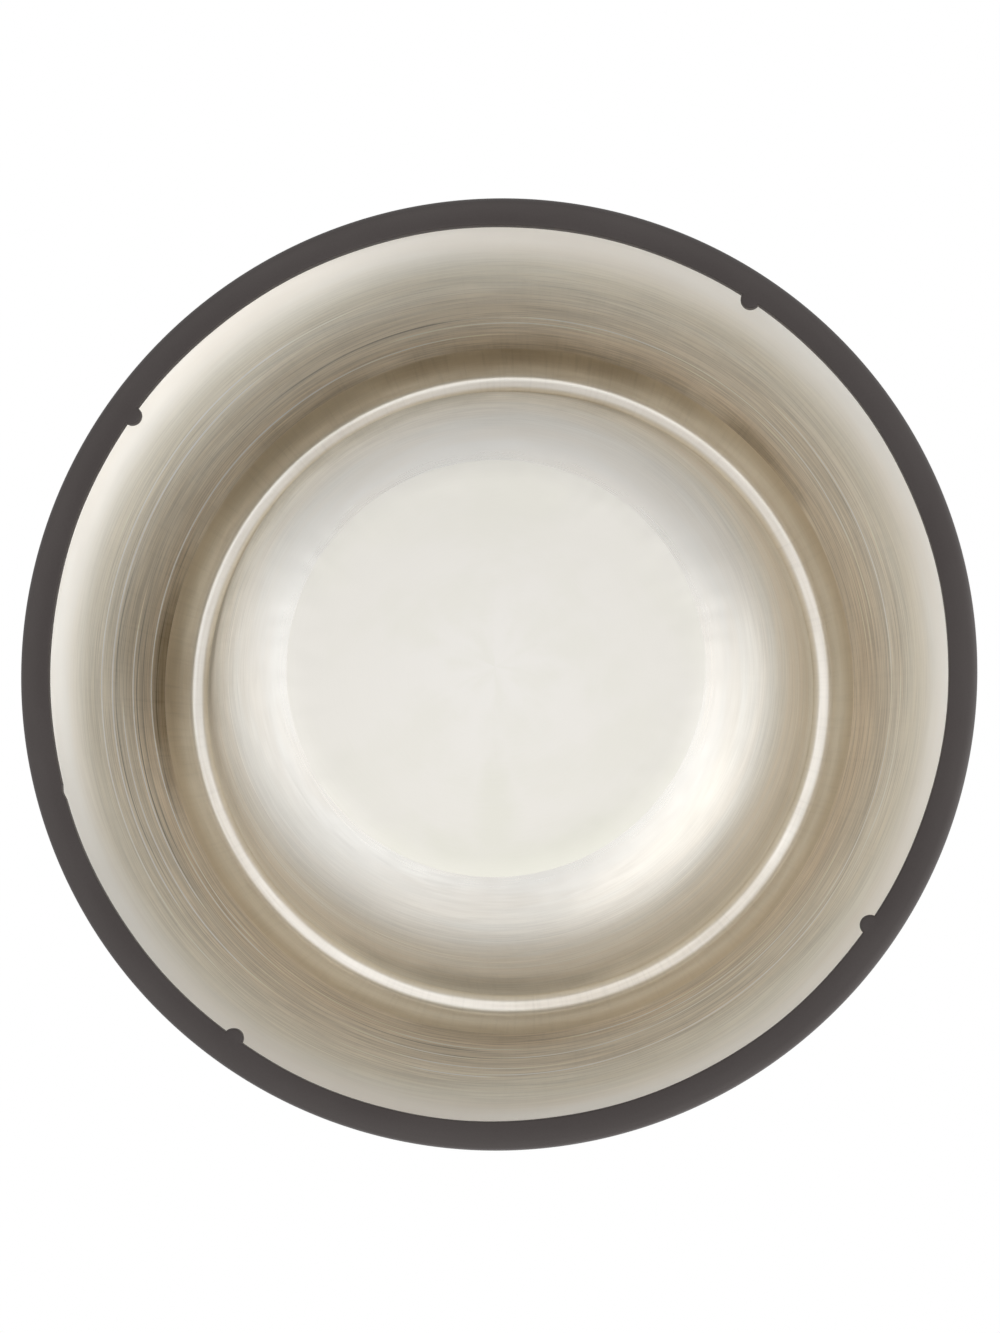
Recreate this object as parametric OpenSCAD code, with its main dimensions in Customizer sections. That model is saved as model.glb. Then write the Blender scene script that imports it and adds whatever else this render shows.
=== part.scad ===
// A pet bowl that doesn't tip: one sheet of steel drawn into a basin, rolled over at the
// rim and flared out into a skirt, whose foot stands in the groove of a rubber ring.
// Millimetres, +Z up, with the origin on the ground under the middle of the basin.

/* [Overall] */
// Diameter of the rubber ring, the widest place of the bowl
base_d = 279.4; // [255:0.1:320]
// Height from the ground to the top of the rolled rim
overall_h = 73.7; // [64:0.1:95]

/* [Steel sheet] */
// Thickness of the sheet, the same all over
sheet_t = 0.6; // [0.4:0.05:1.2]
// Diameter of the circle that runs along the top of the rolled rim
rim_d = 197.6; // [190:0.1:220]
// Outer radius of the bead that the rim is rolled into
rim_bead_r = 4; // [2:0.1:5]

/* [Basin] */
// Diameter of the flat floor, measured underneath
floor_d = 123.2; // [90:0.1:128]
// Height of the floor's underside above the ground
floor_lift = 5; // [1:0.1:15]
// Radius of the corner between floor and wall, measured underneath
corner_r = 25; // [12:0.1:30]

/* [Skirt] */
// Radius of the flare that ends the skirt's straight part, measured outside
flare_r = 55; // [30:0.5:80]
// Angle that the flare turns the skirt further outwards
flare_turn = 20; // [8:0.5:28]
// Outer radius of the bend between the flare and the skirt's upright foot
foot_bend_r = 8; // [3:0.1:14]
// Height of the upright foot, from its edge to the bend
foot_h = 5; // [4:0.1:10]

/* [Rubber ring] */
// Width of the ring, from its inner edge to its outer edge
ring_w = 8.4; // [7:0.1:14]
// Height of the wall outside the steel foot
ring_h = 8.5; // [6:0.1:9.2]
// Height of the lip inside the steel foot
lip_h = 4; // [3.5:0.1:8]
// Rubber under the edge of the steel foot
tread_t = 2.5; // [1.8:0.1:3.5]
// Thickness of the wall outside the steel foot
ring_wall_t = 2.2; // [1.5:0.1:3.5]
// Gap on each side of the steel foot in the groove
groove_gap = 0.3; // [0.2:0.05:0.6]
// Radius of the outer lower edge
tread_edge_r = 2.2; // [0.4:0.1:2.4]
// Radius of the ring's other edges
soft_edge_r = 0.6; // [0.2:0.1:0.7]

/* [Ring lobes] */
// Number of half-round lobes on the ring's inner edge
lobe_count = 4; // [2:1:12]
// Radius of a lobe
lobe_r = 2.9; // [2:0.1:3.8]
// How far a lobe stands out of the ring's inner edge
lobe_reach = 2.6; // [1.5:0.1:3.4]
// How far a lobe's underside is set back from the ground
lobe_lift = 0.3; // [0.2:0.1:1.5]
// Radius of a lobe's lower edge
lobe_edge_r = 0.8; // [0.3:0.1:1.5]

/* [Hidden] */
$fn = 144;

steel = "#c9c5ba";
rubber = "#4a4545";

// The most that the chords of a round bend lie off its arc
chord_gap = 0.03;

base_r = base_d / 2;
floor_r = floor_d / 2;
foot_r = base_r - ring_wall_t - groove_gap;
ring_in_r = base_r - ring_w;
groove_in_r = foot_r - sheet_t - groove_gap;
groove_out_r = foot_r + groove_gap;
lobe_centre_r = ring_in_r + lobe_r - lobe_reach;
lobe_top_z = lip_h - soft_edge_r;

// Centres of the three round bends, as [radius, height]
corner_centre = [floor_r, floor_lift + corner_r];
rim_centre = [rim_d / 2, overall_h - rim_bead_r];
bend_centre = [foot_r - foot_bend_r, tread_t + foot_h];

// The wall is the line that touches the corner on one side and the rim's inside on the other
corner_to_rim = rim_centre - corner_centre;
wall_touch = corner_r + rim_bead_r - sheet_t;
wall_lean = atan2(corner_to_rim.x, corner_to_rim.y) - asin(wall_touch / norm(corner_to_rim));

// The skirt is the line that touches the rim on one side and the flare on the other, and
// the flare's arc runs on into the bend
rim_to_bend = bend_centre - rim_centre;
flare_to_bend = flare_r + foot_bend_r;
skirt_touch = rim_bead_r + flare_r - flare_to_bend * cos(flare_turn);
skirt_lean = atan2(rim_to_bend.y, rim_to_bend.x) + acos(skirt_touch / norm(rim_to_bend));
foot_lean = skirt_lean + flare_turn;
flare_centre = bend_centre + flare_to_bend * [cos(foot_lean), sin(foot_lean)];

// The points along an arc, from one angle to another
function arc(centre, r, from, to) =
    let (steps = ceil(abs(to - from) / (2 * acos(1 - chord_gap / r))))
    [for (i = [0 : steps]) let (a = from + (to - from) * i / steps) centre + r * [cos(a), sin(a)]];

// An arc's points without the first, where the arc before it ends there
function onward(points) = [for (i = [1 : len(points) - 1]) points[i]];

// Section of the whole sheet: the side that faces the ground, then the side that shows
// from above, with the straight runs between one bend's arc and the next
module sheet_section() {
    polygon(concat(
        [[0, floor_lift]],
        arc(corner_centre, corner_r, -90, -wall_lean),
        arc(rim_centre, rim_bead_r - sheet_t, 180 - wall_lean, skirt_lean),
        arc(flare_centre, flare_r + sheet_t, 180 + skirt_lean, 180 + foot_lean),
        onward(arc(bend_centre, foot_bend_r - sheet_t, foot_lean, 0)),
        [[foot_r - sheet_t, tread_t], [foot_r, tread_t]],
        arc(bend_centre, foot_bend_r, 0, foot_lean),
        onward(arc(flare_centre, flare_r, 180 + foot_lean, 180 + skirt_lean)),
        arc(rim_centre, rim_bead_r, skirt_lean, 180 - wall_lean),
        arc(corner_centre, corner_r - sheet_t, -wall_lean, -90),
        [[0, floor_lift + sheet_t]]
    ));
}

// Basin, rolled rim and skirt, in one piece
module steel_bowl() {
    color(steel)
        rotate_extrude()
            sheet_section();
}

// Section of the ring: tread, outer wall, groove for the foot, and inner lip
module ring_section() {
    e = tread_edge_r;
    s = soft_edge_r;
    polygon(concat(
        arc([ring_in_r + s, s], s, 180, 270),
        arc([base_r - e, e], e, 270, 360),
        arc([base_r - s, ring_h - s], s, 0, 90),
        arc([groove_out_r + s, ring_h - s], s, 90, 180),
        [[groove_out_r, tread_t], [groove_in_r, tread_t]],
        arc([groove_in_r - s, lip_h - s], s, 0, 90),
        arc([ring_in_r + s, lip_h - s], s, 90, 180)
    ));
}

// Section of half a lobe, with its lower edge rounded
module lobe_section() {
    e = lobe_edge_r;
    polygon(concat(
        [[0, lobe_top_z], [0, lobe_lift]],
        arc([lobe_r - e, lobe_lift + e], e, 270, 360),
        [[lobe_r, lobe_top_z]]
    ));
}

// The ring, with its lobes spread evenly round the inner edge
module rubber_ring() {
    color(rubber) {
        rotate_extrude()
            ring_section();
        for (i = [0 : lobe_count - 1])
            rotate(i * 360 / lobe_count)
                translate([lobe_centre_r, 0])
                    rotate_extrude()
                        lobe_section();
    }
}

steel_bowl();
rubber_ring();
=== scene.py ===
"""Studio picture of a pet bowl that doesn't tip, seen from underneath.

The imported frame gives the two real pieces, a drawn steel sheet and a moulded rubber ring.
This file rebuilds both as fine meshes in the same places, dresses them, and lights them.
Lengths are in metres, +Z is up, and the origin is on the ground under the basin.
"""

import logging
import math
from dataclasses import dataclass, replace
from enum import Enum
from typing import Sequence, Union

import bpy
from bpy.types import Material, Mesh, Node, NodeTree, Object, World
from mathutils import Matrix, Vector


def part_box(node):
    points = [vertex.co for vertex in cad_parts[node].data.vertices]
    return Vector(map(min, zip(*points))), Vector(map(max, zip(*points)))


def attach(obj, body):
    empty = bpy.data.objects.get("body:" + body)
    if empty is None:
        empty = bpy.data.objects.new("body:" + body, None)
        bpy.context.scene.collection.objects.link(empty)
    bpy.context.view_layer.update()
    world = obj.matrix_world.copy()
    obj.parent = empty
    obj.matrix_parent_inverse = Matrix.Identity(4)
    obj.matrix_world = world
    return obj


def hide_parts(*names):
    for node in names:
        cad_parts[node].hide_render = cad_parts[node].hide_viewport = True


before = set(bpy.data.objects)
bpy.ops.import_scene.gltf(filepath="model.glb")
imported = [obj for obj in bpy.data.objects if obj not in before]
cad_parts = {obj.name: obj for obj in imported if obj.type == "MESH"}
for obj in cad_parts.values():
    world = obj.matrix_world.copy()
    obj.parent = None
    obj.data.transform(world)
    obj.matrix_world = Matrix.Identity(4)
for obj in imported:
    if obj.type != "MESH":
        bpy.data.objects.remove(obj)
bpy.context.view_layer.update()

LOG = logging.getLogger("pet_bowl")
MM = 0.001

# Half and a quarter of a turn, in radians
HALF = math.pi
QUARTER = math.pi / 2

# A place in a section, as its radius and its height
Point = tuple[float, float]
# Where something starts and where it ends
Span = tuple[float, float]
Colour = tuple[float, float, float]
Socket = bpy.types.NodeSocket
Sockets = bpy.types.bpy_prop_collection
Value = Union[float, Colour, Socket]

# Radii so close to the axis that a change between them holds everywhere
WHOLE: Span = (0.0, 10 * MM)
# Middle of the values that noise gives
MIDDLE = 0.5


class Body(Enum):
    """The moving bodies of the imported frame."""

    BASE = "base"
    BOWL = "bowl"


class Slot(Enum):
    """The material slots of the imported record."""

    STEEL = "steel"
    RUBBER = "rubber"


class Zone(Enum):
    """The areas of the steel sheet, which are finished apart. The value is the slot's index."""

    FLOOR = 0
    WALL = 1
    GROOVE = 2
    SKIRT = 3
    OUTSIDE = 4
    INSIDE = 5


def arc(centre: Point, radius: float, start: float, end: float, steps: int) -> list[Point]:
    """Points along an arc in a section.

    Args:
        centre: Radius and height of the arc's centre.
        radius: Radius of the arc.
        start: First angle, in radians.
        end: Last angle, in radians.
        steps: Number of chords.

    Returns:
        The arc's points, both ends included.
    """
    turn = (end - start) / steps
    angles = [start + turn * i for i in range(steps + 1)]
    return [(centre[0] + radius * math.cos(a), centre[1] + radius * math.sin(a)) for a in angles]


def revolve(name: str, section: Sequence[Point], around: int, sides: Sequence[int]) -> Mesh:
    """Turns a closed section round +Z into a mesh.

    Args:
        name: Name of the mesh.
        section: Corner points as (radius, height), in order round the section.
        around: Number of facets in a full turn.
        sides: Material index of the run from each point to the next.

    Returns:
        A closed mesh. Points on the axis are one vertex each.
    """
    on_axis = 1e-9
    verts: list[tuple[float, float, float]] = []
    rows: list[list[int]] = []
    for radius, height in section:
        if radius < on_axis:
            rows.append([len(verts)] * around)
            verts.append((0.0, 0.0, height))
            continue
        rows.append([len(verts) + i for i in range(around)])
        for i in range(around):
            turn = math.tau * i / around
            verts.append((radius * math.cos(turn), radius * math.sin(turn), height))
    faces: list[tuple[int, ...]] = []
    indices: list[int] = []
    for k, row in enumerate(rows):
        following = rows[(k + 1) % len(rows)]
        if row[0] == row[1] and following[0] == following[1]:
            continue
        for i in range(around):
            j = (i + 1) % around
            corners = (row[i], row[j], following[j], following[i])
            faces.append(tuple(dict.fromkeys(corners)))
            indices.append(sides[k])
    mesh = bpy.data.meshes.new(name)
    mesh.from_pydata(verts, [], faces)
    mesh.polygons.foreach_set("material_index", indices)
    mesh.update()
    return mesh


def place(mesh: Mesh, materials: Sequence[Material]) -> Object:
    """Links a mesh into the scene with its materials, smooth up to a crisp edge.

    Args:
        mesh: Mesh of the piece.
        materials: Its materials, in the order of their indices.

    Returns:
        The piece, which is named as its mesh.
    """
    crisp_edge = math.radians(35)
    for material in materials:
        mesh.materials.append(material)
    mesh.polygons.foreach_set("use_smooth", [True] * len(mesh.polygons))
    mesh.set_sharp_from_angle(angle=crisp_edge)
    piece = bpy.data.objects.new(mesh.name, mesh)
    bpy.context.scene.collection.objects.link(piece)
    return piece


class Graph:
    """Adds nodes to a node tree and wires them."""

    def __init__(self, tree: NodeTree) -> None:
        """Keeps the tree that the nodes go into."""
        self.tree = tree

    @classmethod
    def of(cls, owner: Material | World) -> "Graph":
        """The empty graph of a new material or world.

        Args:
            owner: Material or world, whose first nodes are cleared away.

        Returns:
            Its graph.
        """
        owner.use_nodes = True
        owner.node_tree.nodes.clear()
        return cls(owner.node_tree)

    def add(
        self, kind: str, inputs: dict[str | int, Value] | None = None, **settings: object
    ) -> Node:
        """Adds one node.

        Args:
            kind: Blender's name for the type of node.
            inputs: A value or a socket for each input, by its name or its number.
            settings: Properties of the node.

        Returns:
            The node.
        """
        node = self.tree.nodes.new(kind)
        for key, setting in settings.items():
            setattr(node, key, setting)
        for key, value in (inputs or {}).items():
            self.feed(node.inputs[key], value)
        return node

    def feed(self, socket: Socket, value: Value) -> None:
        """Links a socket to an input, or sets the input's own value.

        Args:
            socket: Input of a node.
            value: Socket that feeds it, or the value that it takes.
        """
        if isinstance(value, Socket):
            self.tree.links.new(value, socket)
        elif isinstance(value, tuple) and socket.type == "RGBA":
            socket.default_value = (*value, 1.0)
        else:
            socket.default_value = value

    def show(self, shader: Node, kind: str = "ShaderNodeOutputMaterial") -> None:
        """Puts a shader on the surface of the graph's material or world."""
        out = self.add(kind)
        self.feed(out.inputs["Surface"], shader.outputs[0])

    def maths(self, operation: str, *values: Value) -> Socket:
        """The result of one sum on up to three values."""
        return self.add("ShaderNodeMath", dict(enumerate(values)), operation=operation).outputs[0]

    def plus(self, first: Value, second: Value) -> Socket:
        """The sum of two values."""
        return self.maths("ADD", first, second)

    def minus(self, first: Value, second: Value) -> Socket:
        """The first value less the second."""
        return self.maths("SUBTRACT", first, second)

    def times(self, first: Value, second: Value) -> Socket:
        """The product of two values."""
        return self.maths("MULTIPLY", first, second)

    def over(self, first: Value, second: Value) -> Socket:
        """The first value divided by the second."""
        return self.maths("DIVIDE", first, second)

    def times_plus(self, first: Value, second: Value, start: Value) -> Socket:
        """The product of two values, added to a start."""
        return self.maths("MULTIPLY_ADD", first, second, start)

    def remap(
        self, value: Value, low: Value, high: Value, to_low: float = 0.0, to_high: float = 1.0
    ) -> Socket:
        """Eases a value from one range into another.

        Args:
            value: Value to ease.
            low: Value that gives to_low.
            high: Value that gives to_high. It may be the smaller of the two.
            to_low: Result at the low end, and beyond it.
            to_high: Result at the high end, and beyond it.

        Returns:
            The eased value.
        """
        return self.add("ShaderNodeMapRange", {
            "Value": value, "From Min": low, "From Max": high, "To Min": to_low, "To Max": to_high,
        }, interpolation_type="SMOOTHSTEP").outputs["Result"]

    def blend(self, factor: Value, first: Value, second: Value, mode: str = "MIX") -> Socket:
        """Mixes two colours.

        Args:
            factor: Share of the second colour.
            first: Colour at a factor of 0.
            second: Colour that is mixed in.
            mode: Blender's name for the way of mixing.

        Returns:
            The mixed colour.
        """
        factor_in, first_in, second_in, colour_out = 0, 6, 7, 2
        mixed = {factor_in: factor, first_in: first, second_in: second}
        node = self.add("ShaderNodeMix", mixed, data_type="RGBA", blend_type=mode)
        return node.outputs[colour_out]


class EffectGroup:
    """A shader node group that is built once and placed in each material that uses it."""

    name: str = ""
    inputs: dict[str, float] = {}
    outputs: tuple[str, ...] = ()

    @classmethod
    def tree(cls) -> NodeTree:
        """Builds the group's node tree on the first call.

        Returns:
            The tree, which all materials share.
        """
        found = bpy.data.node_groups.get(cls.name)
        if found:
            return found
        tree = bpy.data.node_groups.new(cls.name, "ShaderNodeTree")
        kind = "NodeSocketFloat"
        for key, number in cls.inputs.items():
            socket = tree.interface.new_socket(name=key, in_out="INPUT", socket_type=kind)
            socket.default_value = number
        for key in cls.outputs:
            tree.interface.new_socket(name=key, in_out="OUTPUT", socket_type=kind)
        graph = Graph(tree)
        given = graph.add("NodeGroupInput").outputs
        made = cls.build(graph, given)
        graph.add("NodeGroupOutput", made)
        return tree

    @classmethod
    def build(cls, graph: Graph, given: Sockets) -> dict[str, Socket]:
        """Wires the group's inside, and returns the socket for each output."""
        raise NotImplementedError

    @classmethod
    def place(cls, graph: Graph, **values: Value) -> Sockets:
        """Adds the group to a graph.

        Args:
            graph: Graph of a material or of another group.
            values: A value for each input, by its name with underscores for spaces.

        Returns:
            The group's outputs.
        """
        named = {key.replace("_", " "): value for key, value in values.items()}
        return graph.add("ShaderNodeGroup", named, node_tree=cls.tree()).outputs


class TurnedPlace(EffectGroup):
    """Where a point lies on a turned piece: its radius, height and direction round the axis."""

    name = "turned place"
    outputs = ("Radius", "Height", "Cosine", "Sine")

    @classmethod
    def build(cls, graph: Graph, given: Sockets) -> dict[str, Socket]:
        """Reads the piece's own coordinates.

        Args:
            graph: Graph of the group.
            given: The group's inputs.

        Returns:
            The socket for each of the group's outputs.
        """
        least = 1e-5
        point = graph.add("ShaderNodeTexCoord").outputs["Object"]
        xyz = graph.add("ShaderNodeSeparateXYZ", {"Vector": point}).outputs
        squares = graph.plus(graph.times(xyz["X"], xyz["X"]), graph.times(xyz["Y"], xyz["Y"]))
        radius = graph.maths("MAXIMUM", graph.maths("SQRT", squares), least)
        return {
            "Radius": radius,
            "Height": xyz["Z"],
            "Cosine": graph.over(xyz["X"], radius),
            "Sine": graph.over(xyz["Y"], radius),
        }

    @staticmethod
    def facing(graph: Graph, at: Sockets, cosine: Value, sine: Value) -> Socket:
        """Cosine of the angle round the axis between the point and a direction."""
        return graph.times_plus(cosine, at["Cosine"], graph.times(sine, at["Sine"]))


class TurnedNoise(EffectGroup):
    """Noise drawn out round the axis, as the marks of polishing on a lathe are."""

    name = "turned noise"
    inputs = {"Pitch": 1e-3, "Climb": 0.0, "Around": 2.0, "Detail": 2.0, "Seed": 0.0}
    outputs = ("Noise",)

    @classmethod
    def build(cls, graph: Graph, given: Sockets) -> dict[str, Socket]:
        """Scales the way across the marks by the pitch, and the direction by their lengths.

        Args:
            graph: Graph of the group.
            given: The group's inputs.

        Returns:
            The socket for each of the group's outputs.
        """
        at = TurnedPlace.place(graph)
        across = graph.times_plus(at["Height"], given["Climb"], at["Radius"])
        vector = graph.add("ShaderNodeCombineXYZ", {
            "X": graph.plus(graph.over(across, given["Pitch"]), given["Seed"]),
            "Y": graph.times_plus(at["Cosine"], given["Around"], given["Seed"]),
            "Z": graph.times(at["Sine"], given["Around"]),
        })
        noise = graph.add("ShaderNodeTexNoise", {
            "Vector": vector.outputs[0], "Scale": 1.0, "Detail": given["Detail"],
        })
        return {"Noise": noise.outputs[0]}

    @classmethod
    def sample(cls, graph: Graph, **values: Value) -> Socket:
        """Adds the group to a graph, and returns its noise."""
        return cls.place(graph, **values)["Noise"]


class ScoredLines(EffectGroup):
    """Thin arcs round the axis, each a scratch of its own length, on rings a pitch apart."""

    name = "scored lines"
    inputs = {"Pitch": 1e-3, "Climb": 0.0, "Waver": 0.0, "Share": 0.5, "Seed": 0.0}
    outputs = ("Lines",)

    @classmethod
    def build(cls, graph: Graph, given: Sockets) -> dict[str, Socket]:
        """Draws lots for each ring: if it is scratched, where, how far and how deep.

        Args:
            graph: Graph of the group.
            given: The group's inputs.

        Returns:
            The socket for each of the group's outputs.
        """
        least_start, start_spread, fade = -0.3, 1.2, 0.2
        ring_middle, stroke_edge, stroke_core = 0.5, 0.32, 0.05
        climb, seed = given["Climb"], given["Seed"]
        at = TurnedPlace.place(graph)
        drift = TurnedNoise.sample(
            graph, Pitch=60 * MM, Climb=climb, Around=0.9, Detail=1.0, Seed=seed
        )
        along = graph.times_plus(at["Height"], climb, at["Radius"])
        along = graph.times_plus(graph.minus(drift, MIDDLE), given["Waver"], along)
        ring = graph.plus(graph.over(along, given["Pitch"]), seed)
        number = graph.maths("FLOOR", ring)
        lots = graph.add("ShaderNodeTexWhiteNoise", {"W": number}, noise_dimensions="1D").outputs
        lot = graph.add("ShaderNodeSeparateColor", {"Color": lots["Color"]}).outputs
        way = graph.times(lot["Red"], math.tau)
        cosine, sine = graph.maths("COSINE", way), graph.maths("SINE", way)
        facing = TurnedPlace.facing(graph, at, cosine, sine)
        start = graph.times_plus(lot["Green"], start_spread, least_start)
        shown = graph.remap(facing, start, graph.plus(start, fade))
        kept = graph.maths("LESS_THAN", lot["Blue"], given["Share"])
        off = graph.maths("ABSOLUTE", graph.minus(graph.maths("FRACT", ring), ring_middle))
        stroke = graph.remap(off, stroke_edge, stroke_core)
        depth = graph.times(lots["Value"], lots["Value"])
        return {"Lines": graph.times(graph.times(shown, kept), graph.times(stroke, depth))}


class Polish(EffectGroup):
    """Marks of polishing: fine brush, scratches light and dark, bands, belts of another hue."""

    name = "polish"
    inputs = {"Climb": 0.0, "Grain": 1.0, "Seed": 0.0}
    outputs = ("Brush", "Light Lines", "Dark Lines", "Bands", "Belts")

    @classmethod
    def build(cls, graph: Graph, given: Sockets) -> dict[str, Socket]:
        """Lays scored lines of two pitches over turned noise.

        Args:
            graph: Graph of the group.
            given: The group's inputs.

        Returns:
            The socket for each of the group's outputs.
        """
        seed_step = 31.7
        climb, grain, seed = given["Climb"], given["Grain"], given["Seed"]
        later = graph.plus(seed, seed_step)

        def noise(pitch: float, around: float, detail: float, start: Socket) -> Socket:
            """Turned noise of one pitch, stretched by the grain.

            Args:
                pitch: Width of the marks across them.
                around: How often the noise changes round the axis.
                detail: Levels of finer noise.
                start: Seed.

            Returns:
                The noise.
            """
            wide = graph.times(grain, pitch)
            return TurnedNoise.sample(
                graph, Pitch=wide, Climb=climb, Around=around, Detail=detail, Seed=start
            )

        def lines(pitch: float, waver: float, share: float, start: Socket) -> Socket:
            """Scored lines of one pitch, stretched by the grain.

            Args:
                pitch: Distance from ring to ring.
                waver: How far the rings wander in and out.
                share: Share of the rings that are scratched.
                start: Seed.

            Returns:
                The depth of the lines.
            """
            wide, drift = graph.times(grain, pitch), graph.times(grain, waver)
            return ScoredLines.place(
                graph, Pitch=wide, Climb=climb, Waver=drift, Share=share, Seed=start
            )["Lines"]

        brush = noise(pitch=0.35 * MM, around=6.0, detail=1.0, start=seed)
        cluster = noise(pitch=6 * MM, around=1.1, detail=1.0, start=later)
        bands = noise(pitch=2.2 * MM, around=2.4, detail=2.0, start=later)
        belts = noise(pitch=7 * MM, around=1.2, detail=2.0, start=seed)
        light = lines(pitch=0.9 * MM, waver=2.0 * MM, share=0.6, start=seed)
        dark = lines(pitch=1.0 * MM, waver=3.0 * MM, share=0.5, start=later)
        gathered = graph.remap(cluster, low=0.4, high=0.6, to_low=0.1)
        return {
            "Brush": graph.remap(brush, low=0.3, high=0.7),
            "Light Lines": graph.times(light, gathered),
            "Dark Lines": graph.times(dark, gathered),
            "Bands": graph.remap(bands, low=0.3, high=0.7),
            "Belts": graph.remap(belts, low=0.35, high=0.65),
        }


class StainAndShadeMask(EffectGroup):
    """One soft patch on a turned piece, longer round the axis than across."""

    name = "stain mask"
    inputs = {
        "Way Cosine": 1.0, "Way Sine": 0.0, "Spread": 0.2, "Radius": 0.1, "Width": 0.01,
        "Seed": 0.0,
    }
    outputs = ("Mask",)

    @classmethod
    def build(cls, graph: Graph, given: Sockets) -> dict[str, Socket]:
        """Fades with the angle and the distance from the patch's middle, a little raggedly.

        Args:
            graph: Graph of the group.
            given: The group's inputs.

        Returns:
            The socket for each of the group's outputs.
        """
        edge, core, raggedness = 1.15, 0.1, 0.9
        at = TurnedPlace.place(graph)
        facing = TurnedPlace.facing(graph, at, given["Way Cosine"], given["Way Sine"])
        angle = graph.maths("ARCCOSINE", graph.maths("MINIMUM", facing, 1.0))
        turned = graph.over(angle, given["Spread"])
        off = graph.over(graph.minus(at["Radius"], given["Radius"]), given["Width"])
        noise = TurnedNoise.sample(graph, Pitch=6 * MM, Around=5.0, Detail=3.0, Seed=given["Seed"])
        far = graph.maths("SQRT", graph.times_plus(turned, turned, graph.times(off, off)))
        far = graph.times_plus(graph.minus(noise, MIDDLE), raggedness, far)
        return {"Mask": graph.remap(far, edge, core)}


@dataclass(frozen=True)
class StainAndShadePatch:
    """A darker patch on the sheet: some are stains that the drawing left, others are painted shade.

    Attributes:
        way: Direction from the axis, in degrees from +X.
        spread: Half of its length round the axis, in degrees.
        radius: Radius of the circle that it follows.
        width: Half of its width.
        strength: How much of the patch's colour shows at its middle.
    """

    way: float
    spread: float
    radius: float
    width: float
    strength: float

    def shown(self, graph: Graph, seed: float) -> Socket:
        """Places the patch on the sheet.

        Args:
            graph: Graph of the material.
            seed: Shifts the patch's ragged edge.

        Returns:
            How much of the patch's colour shows.
        """
        way = math.radians(self.way)
        mask = StainAndShadeMask.place(
            graph, Way_Cosine=math.cos(way), Way_Sine=math.sin(way), Radius=self.radius,
            Spread=math.radians(self.spread), Width=self.width, Seed=seed,
        )["Mask"]
        return graph.times(mask, self.strength)


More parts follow.
